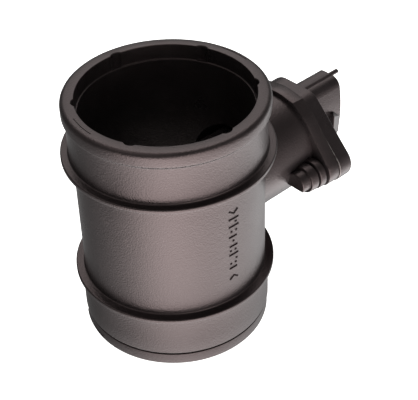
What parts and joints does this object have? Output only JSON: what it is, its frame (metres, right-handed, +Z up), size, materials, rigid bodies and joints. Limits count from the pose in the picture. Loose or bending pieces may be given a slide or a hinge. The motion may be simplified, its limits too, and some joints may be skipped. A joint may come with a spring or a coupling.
{
  "type": "mass airflow sensor",
  "caption": "Moulded plastic air duct with hose beads and hose stops, and a plug-in hot-film air-mass sensor bolted to its side neck, with an electrical connector.",
  "frame": {"origin": "on the duct's axis at the outlet rim's plane, which is the face that it stands on", "axes": "+Z up along the duct's axis towards the inlet; +X along the side neck towards the connector"},
  "size_m": [0.1438, 0.0866, 0.1093],
  "materials": {
    "black_plastic": "glass-filled, satin moulded",
    "black_plastic_insert": "glass-filled, satin moulded",
    "cover_plastic": "satin moulded",
    "plate_metal": "rolled",
    "board": "ceramic, smooth",
    "chip": "moulded epoxy",
    "parts_tan": "fired ceramic",
    "parts_dark": "glazed",
    "carrier_metal": "stamped sheet",
    "silicon": "polished",
    "contact_metal": "tin plated",
    "ribbon_metal": "drawn",
    "seal_rubber": "smooth",
    "screw_steel": "zinc plated",
    "bead_coating": "glass coated",
    "lead_wire": "drawn wire"
  },
  "bodies": {
    "root": {"tube_body": "black_plastic", "sensor_housing": "black_plastic_insert", "electronics_cover": "cover_plastic", "duct_cover": "cover_plastic", "base_plate": "plate_metal", "circuit_board": "board", "evaluation_chip": "chip", "board_capacitors": "parts_tan", "board_resistors": "parts_dark", "sensor_carrier": "carrier_metal", "sensing_element": "silicon", "contact_pin_1": "contact_metal", "contact_pin_2": "contact_metal", "contact_pin_3": "contact_metal", "contact_pin_4": "contact_metal", "contact_pin_5": "contact_metal", "bond_ribbons": "ribbon_metal", "seal_ring": "seal_rubber", "fixing_screws": "screw_steel", "thermistor_bead": "bead_coating", "thermistor_leads": "lead_wire"}
  },
  "joints": []
}
